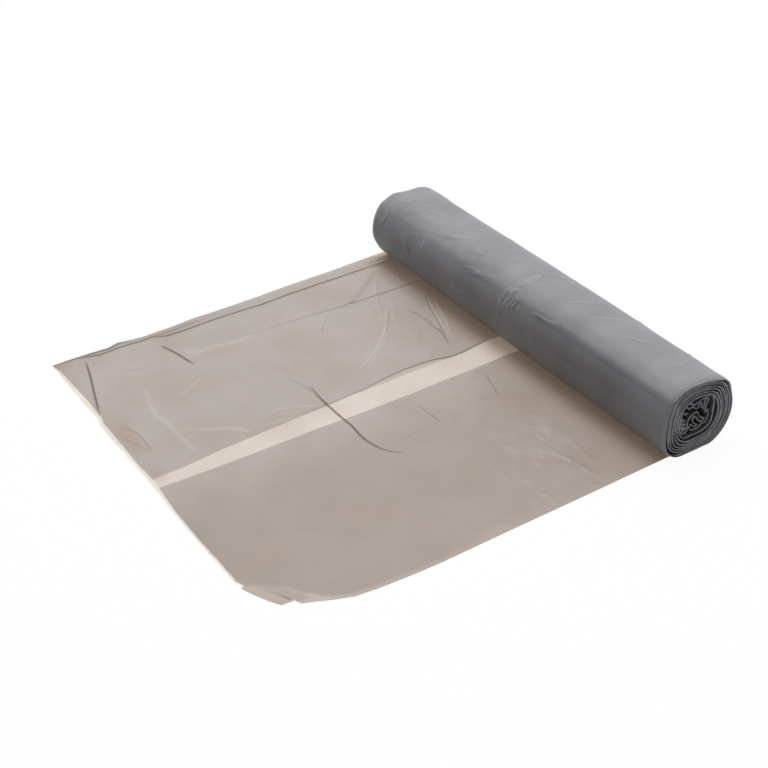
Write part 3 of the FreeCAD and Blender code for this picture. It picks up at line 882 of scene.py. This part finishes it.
def bag_layers_and_painted_light(x, y, band, in_hem):
    """Layers of film at each place of the bag, as a share of eight.

    There are four, but more in the rear fold, two between the gussets and one at the hem.
    The near half gets darker towards the near edge as painted shade, and crumpled film is
    drawn paler as a painted highlight.
    """
    layers = np.full(len(x), 0.5)
    rear, near = band == REAR_BAND, band == NEAR_HALF
    layers[rear] = 0.52 + 0.1 * smoothstep(-120, -200, y[rear])
    layers[band == PALE_STRIP] = 0.25
    # Painted shade: the near half darkens towards the near edge
    layers[near] = 0.5 + 0.13 * smoothstep(8, 60, x[near])
    # Fewer layers lie between the gusset's line and the strip, close to the roll
    layers[(band == REAR_HALF) & (x > at_depth(GUSSET_LINE, y)) & (y > -150)] = 0.42
    # The film is crumpled in front of the roll's near half, with painted highlights where it
    # stands up
    crumpled = bell(x, 92, 45) * bell(y, -72, 30) * near
    layers -= 0.15 * crumpled * np.maximum(rough(x, y, 0, 11.0, 67) + 0.1, 0)
    layers[in_hem] = 0.125
    return layers


def bag_height(x, y, inside, away, painted_shading):
    """Height of the bag's upper side, inside its edges by inside. Adds to away and to the field of
    painted shade and highlights.
    """
    height = np.zeros(len(x))
    add_creases(x, y, BAG_CREASES, height, away, painted_shading)
    # Long lines as (line, darkness, height, width, where it ends, over what length), whose
    # darkness is painted shade along the fold lines and the rear edge
    long_lines = (
        (REAR_FOLD, 0.95, 0.5, 1.7, -275, 10), (GUSSET_LINE, 0.95, 0.1, 1.3, -215, 160),
        (SECOND_FOLD, 0.85, 0.15, 1.0, -205, 165), (STRIP_NEAR, 0.6, 0.0, 1.2, -60, 40),
        (REAR_EDGE, 0.75, 0.0, 1.8, -222, -25))
    everywhere = np.full(len(x), True)
    for line, darkness, rise, width, end, fading in long_lines:
        from_line = x - at_depth(line, y)
        strength = darkness * smoothstep(end, end + fading, y)
        strength *= 1 - smoothstep(1.6, 2.6, np.abs(from_line))
        paint_shading_line(away, painted_shading, everywhere, from_line / width, strength)
        height += rise * np.exp(-(from_line / 1.6) ** 2)
    small = random_creases(9, 160, (-150, -285), (145, -30), (8, 40), (0.04, 0.16), (-35, 40))
    small += random_creases(10, 60, (-140, -95), (20, -22), (8, 30), (0.1, 0.4), (-32, 16))
    small += random_creases(11, 120, (30, -110), (150, -34), (6, 22), (0.12, 0.30), (10, 45))
    add_creases(x, y, small, height)

    # Soft waves, whose hollows rest on the floor
    height += rough(x, y, 0, 55.0, 61) * 1.0
    height += rough(x, y, 0, 23.0, 62) * 0.4
    height += rough(x, y, 0, 8.0, 63) * 0.1
    height = np.maximum(height - 0.1, 0) + 0.3 * np.log1p(np.exp(-np.abs(height - 0.1) * 4))
    # It is flat under the roll and at its edges
    height *= smoothstep(-10, -20, y)
    height *= smoothstep(0, 8, inside)
    film = bpy.context.scene.bag_sizes.film / MM
    return height + film * (0.05 + 0.95 * smoothstep(0, 3.0, inside))


def bag_warmth_and_shade(x, y, band):
    """How brown the film is: where its layers lie apart, and as painted shade close to the roll.
    """
    # Painted shade: browner and darker close to the roll, where the roll shades the film
    warmth_and_shade = 0.40 * np.exp(-np.maximum(-y - 29, 0) / 9.0) * (band != PALE_STRIP)
    # Three brown patches at the far edge: a lens, the rear corner and beside the strip
    warmth_and_shade += 0.5 * np.exp(-((x + 48) / 17) ** 4 - ((y + 284) / 5) ** 4)
    warmth_and_shade += 0.5 * bell(x, -149, 7) * bell(y, -286, 6)
    warmth_and_shade += 0.4 * bell(x, -5, 9) * bell(y, -286, 5)
    warmth_and_shade += 0.25 * np.maximum(rough(x, y, 0, 26.0, 66), 0) + 0.06 * smoothstep(-20, 60, x)
    return warmth_and_shade


def build_loose_bag(material):
    """The loose bag, with its gussets' pale strip, its creases and its single hem."""
    sizes = bpy.context.scene.bag_sizes
    across_scale = sizes.width / MM / 310.0
    along_scale = sizes.length / MM / 292.0
    columns = column_places()
    # Even rows up to the hem, then rows at these shares of its width from the far edge
    even = 292
    hem_shares = np.array([2.2, 1.5, 1.06, 0.94, 0.55, 0.25, 0.0])
    rows = even + len(hem_shares) - 1
    bm = bmesh.new()
    bmesh.ops.create_grid(bm, x_segments=len(columns) - 1, y_segments=rows, size=1.0)
    flat = np.array([vert.co[:2] for vert in bm.verts])
    column = np.rint((flat[:, 0] + 1) / 2 * (len(columns) - 1)).astype(int)
    row = np.rint((flat[:, 1] + 1) / 2 * rows).astype(int)

    # The far edge and the hem at each column, and from them each row's place
    lines = [REAR_EDGE, REAR_FOLD, STRIP_REAR, STRIP_NEAR, NEAR_EDGE]
    band = np.array([place[0] for place in columns])[column]
    share = np.array([place[1] for place in columns])[column]
    at_end = np.array([at_depth(line, -295) for line in lines])
    x_end = at_end[band] + share * (at_end[band + 1] - at_end[band])
    far = np.interp(x_end, [place[0] for place in FAR_EDGE], [place[1] for place in FAR_EDGE])
    far += rough(x_end, 0, 0, 2.4, 64) * 0.22
    hem = np.interp(x_end, [place[0] for place in HEM_WIDTH],
                    [place[1] for place in HEM_WIDTH]) * sizes.hem / MM / 3.4
    from_end = np.concatenate([np.zeros(even), hem_shares])[row] * hem
    under_roll = 6.0
    start_of_hem = far + hem_shares[0] * hem
    y = np.where(row < even, under_roll + row / even * (start_of_hem - under_roll),
                 far + from_end)
    lines_x = np.array([at_depth(line, y) for line in lines])
    here = np.arange(len(y))
    x = lines_x[band, here] + share * (lines_x[band + 1, here] - lines_x[band, here])

    # Distance from the torn far edge, and from any edge
    rim = y - far + np.maximum(rough(x, y, 0, 9.0, 65), 0) * 0.5
    inside = np.minimum(np.minimum(x - lines_x[0], lines_x[4] - x), y - far)
    in_hem = (row >= even) & (from_end < hem) & (x_end > -149)

    away = np.full(len(x), NO_CREASE)
    painted_shading = np.zeros(len(x))
    height = bag_height(x, y, inside, away, painted_shading)
    # Painted light: the film glows more close to the roll and where it is thin, standing in for
    # light from below coming through it
    glow = 0.05 + 0.08 * np.exp(-np.maximum(-y - 27, 0) / 14.0)
    glow *= 1 + 0.8 * (band == PALE_STRIP)
    move_points(bm, x * across_scale - BAG_SHIFT, roll_middle()[0] + y * along_scale,
                0.03 + height)
    set_fields(bm, {"layers": bag_layers_and_painted_light(x, y, band, in_hem), "away": away, "painted_shading": painted_shading,
                    "warmth_and_shade": bag_warmth_and_shade(x, y, band), "rim": rim, "glow": glow})

    # The underside is flat, and the rim a sharp edge
    rim_edges = [edge for edge in bm.edges if edge.is_boundary]
    for edge in rim_edges:
        edge.smooth = False
    ring = bmesh.ops.extrude_edge_only(bm, edges=rim_edges)["geom"]
    for vert in ring:
        if isinstance(vert, bmesh.types.BMVert):
            vert.co.z = 0.02
    bmesh.ops.edgeloop_fill(bm, edges=[edge for edge in bm.edges if edge.is_boundary])
    bmesh.ops.recalc_face_normals(bm, faces=bm.faces)
    return finish_piece("loose_bag", bm, material)


def build_corner_flap(material):
    """The torn scrap of one layer that shows under the cut corner."""
    # Its edge under the bag and its torn edge, as places of the bag
    inner = [(135.0, -272.5), (132.0, -273.5), (124.0, -277.5), (115.5, -284.5),
             (109.5, -290.5)]
    outer = [(134.9, -276.6), (134.3, -282.6), (127.5, -286.6), (118.5, -291.0),
             (110.5, -294.0)]
    middle_y = roll_middle()[0]
    bm = bmesh.new()
    bmesh.ops.create_grid(bm, x_segments=36, y_segments=8, size=1.0)
    flat = np.array([vert.co[:2] for vert in bm.verts])
    along = (flat[:, 0] + 1) / 2 * 4
    out = (flat[:, 1] + 1) / 2
    inner_x = np.interp(along, range(5), [place[0] for place in inner])
    inner_y = np.interp(along, range(5), [place[1] for place in inner])
    outer_x = np.interp(along, range(5), [place[0] for place in outer])
    outer_y = np.interp(along, range(5), [place[1] for place in outer])
    x = inner_x + (outer_x - inner_x) * out
    y = inner_y + (outer_y - inner_y) * out
    z = 0.09 + 0.5 * out * np.maximum(rough(x, y, 0, 6.0, 71), 0)
    move_points(bm, x - BAG_SHIFT, middle_y + y, z)
    # Painted shade: it is darkest in the narrow gap under the bag's edge, where the bag shades it.
    # Its glow is painted light
    set_fields(bm, {"layers": np.full(len(x), 0.40), "warmth_and_shade": np.full(len(x), 0.30),
                    "glow": np.full(len(x), 0.05), "rim": 0.9 + 3 * (1 - out),
                    "away": np.maximum(0, (out - 0.28) * 7),
                    "painted_shading": 0.15 + 0.8 * bell(along, 1.05, 0.6)})
    bmesh.ops.recalc_face_normals(bm, faces=bm.faces)
    if sum(face.normal.z for face in bm.faces) < 0:
        bmesh.ops.reverse_faces(bm, faces=bm.faces)
    for edge in bm.edges:
        edge.smooth = not edge.is_boundary
    bmesh.ops.solidify(bm, geom=bm.faces[:], thickness=0.06)
    bmesh.ops.recalc_face_normals(bm, faces=bm.faces)
    return finish_piece("corner_flap", bm, material)


# The operators, one for each step, and the panel

class BAGROLL_OT_camera(bpy.types.Operator):
    """Place the camera where the photograph was taken from."""
    bl_idname = "bagroll.camera"
    bl_label = "Camera"

    def execute(self, context):
        camera_data = bpy.data.cameras.new("camera")
        camera_data.lens = CAMERA_LENS
        camera_data.sensor_width = 36.0
        camera_data.clip_start, camera_data.clip_end = 0.01, 20.0
        camera = bpy.data.objects.new("camera", camera_data)
        context.scene.collection.objects.link(camera)
        turned, raised = math.radians(CAMERA_TURNED), math.radians(CAMERA_RAISED)
        back = Vector((math.sin(turned) * math.cos(raised),
                       -math.cos(turned) * math.cos(raised), math.sin(raised)))
        right = Vector((math.cos(turned), math.sin(turned), 0))
        axes = Matrix((right, back.cross(right), back)).transposed()
        place = Matrix.Translation(Vector(CAMERA_PLACE) * MM)
        camera.matrix_world = place @ axes.to_4x4()
        context.scene.camera = camera
        return {"FINISHED"}


class BAGROLL_OT_wound_film(bpy.types.Operator):
    """Make the wound roll and the turns that show at both of its ends."""
    bl_idname = "bagroll.wound_film"
    bl_label = "Wound film"

    def execute(self, context):
        build_wound_roll(wound_film_material())
        edges = film_edge_material()
        build_turns("near_end_turns", 1, edges)
        build_turns("far_end_turns", -1, edges)
        return {"FINISHED"}


class BAGROLL_OT_loose_bag(bpy.types.Operator):
    """Make the bag that is drawn off the roll, and the torn scrap at its corner."""
    bl_idname = "bagroll.loose_bag"
    bl_label = "Loose bag"

    def execute(self, context):
        material = loose_film_material()
        bag = build_loose_bag(material)
        flap = build_corner_flap(material)
        return {"FINISHED"}


def build_floor():
    """The white paper that the bags lie on."""
    bm = bmesh.new()
    bmesh.ops.create_grid(bm, x_segments=1, y_segments=1, size=4.0)
    mesh = bpy.data.meshes.new("floor")
    bm.to_mesh(mesh)
    bm.free()
    floor = bpy.data.objects.new("floor", mesh)
    bpy.context.scene.collection.objects.link(floor)
    # The background's rays see almost plain white, a little darker in the object's shadow
    material, tree, output = new_material("white paper floor")
    plain = add_node(tree, "ShaderNodeBsdfDiffuse", links={"Color": linear("#f3f3f3")})
    glow = add_node(tree, "ShaderNodeEmission", links={
        "Color": linear("#ffffff"), "Strength": 1.0})
    part = add_node(tree, "ShaderNodeMath", {"operation": "MULTIPLY"}, {
        0: background_rays(tree), 1: 0.95})
    both = add_node(tree, "ShaderNodeMixShader", links={
        0: part.outputs[0], 1: plain.outputs[0], 2: glow.outputs[0]})
    tree.links.new(both.outputs[0], output.inputs[0])
    mesh.materials.append(material)


def build_surroundings():
    """A light tent: brightest behind the roll, and dim near the floor."""
    world = bpy.data.worlds.new("white surroundings")
    world.use_nodes = True
    tree = world.node_tree
    tree.nodes.clear()
    output = add_node(tree, "ShaderNodeOutputWorld")
    place = add_node(tree, "ShaderNodeTexCoord").outputs["Generated"]
    towards = add_node(tree, "ShaderNodeVectorMath", {"operation": "DOT_PRODUCT"}, {
        0: place, 1: (-0.5, 0.8, 0.25)})
    behind = add_node(tree, "ShaderNodeMapRange", links={
        "Value": towards.outputs["Value"], "From Min": -0.5, "From Max": 0.9,
        "To Min": 0.07, "To Max": 0.88})
    raised = add_node(tree, "ShaderNodeSeparateXYZ", links={"Vector": place})
    above = add_node(tree, "ShaderNodeMapRange", {"interpolation_type": "SMOOTHSTEP"}, {
        "Value": raised.outputs["Z"], "From Min": 0.16, "From Max": 0.42,
        "To Min": 0.25, "To Max": 1.0})
    tent = add_node(tree, "ShaderNodeMath", {"operation": "MULTIPLY"}, {
        0: behind.outputs[0], 1: above.outputs[0]})
    level = add_node(tree, "ShaderNodeMath", {"operation": "MAXIMUM"}, {
        0: background_rays(tree), 1: tent.outputs[0]})
    sky = add_node(tree, "ShaderNodeBackground", links={
        "Color": linear("#ffffff"), "Strength": level.outputs[0]})
    tree.links.new(sky.outputs[0], output.inputs[0])
    bpy.context.scene.world = world


def add_softbox():
    """One soft lamp above and behind the roll, aimed at the middle of the object."""
    place = Vector((-0.5, 0.4, 1.9))
    data = bpy.data.lights.new("softbox", "AREA")
    data.shape = "RECTANGLE"
    data.size, data.size_y = 1.1, 0.9
    data.energy = 30.0
    lamp = bpy.data.objects.new("softbox", data)
    bpy.context.scene.collection.objects.link(lamp)
    facing = (-place).to_track_quat("-Z", "Y")
    lamp.matrix_world = Matrix.Translation(place) @ facing.to_matrix().to_4x4()


class BAGROLL_OT_stage(bpy.types.Operator):
    """Make the white floor, the light and the white surroundings."""
    bl_idname = "bagroll.stage"
    bl_label = "Stage"

    def execute(self, context):
        build_floor()
        build_surroundings()
        add_softbox()
        context.scene.view_settings.view_transform = "Standard"
        return {"FINISHED"}


class BAGROLL_PT_panel(bpy.types.Panel):
    """The roll's sizes, colours and pieces."""
    bl_idname = "BAGROLL_PT_panel"
    bl_label = "Bag Roll"
    bl_space_type = "VIEW_3D"
    bl_region_type = "UI"
    bl_category = "Bag Roll"

    def draw(self, context):
        for group in (context.scene.roll_sizes, context.scene.bag_sizes,
                      context.scene.film_colours):
            box = self.layout.box()
            for name in group.bl_rna.properties.keys():
                if name not in ("rna_type", "name"):
                    box.prop(group, name)
        for operator in OPERATORS:
            self.layout.operator(operator.bl_idname)


GROUPS = {"roll_sizes": RollSizes, "bag_sizes": BagSizes, "film_colours": FilmColours}
OPERATORS = (BAGROLL_OT_camera, BAGROLL_OT_wound_film, BAGROLL_OT_loose_bag,
             BAGROLL_OT_stage)


def register():
    """Register the groups, operators and panel."""
    for name, group in GROUPS.items():
        bpy.utils.register_class(group)
        setattr(bpy.types.Scene, name, bpy.props.PointerProperty(type=group))
    for item in (*OPERATORS, BAGROLL_PT_panel):
        bpy.utils.register_class(item)


def unregister():
    """Take away what register added."""
    for item in reversed((*OPERATORS, BAGROLL_PT_panel)):
        bpy.utils.unregister_class(item)
    for name, group in GROUPS.items():
        delattr(bpy.types.Scene, name)
        bpy.utils.unregister_class(group)


def main():
    """Make everything in order."""
    register()
    bpy.ops.bagroll.camera()
    bpy.ops.bagroll.wound_film()
    bpy.ops.bagroll.loose_bag()
    bpy.ops.bagroll.stage()
    bpy.context.view_layer.update()


if __name__ == "__main__":
    main()
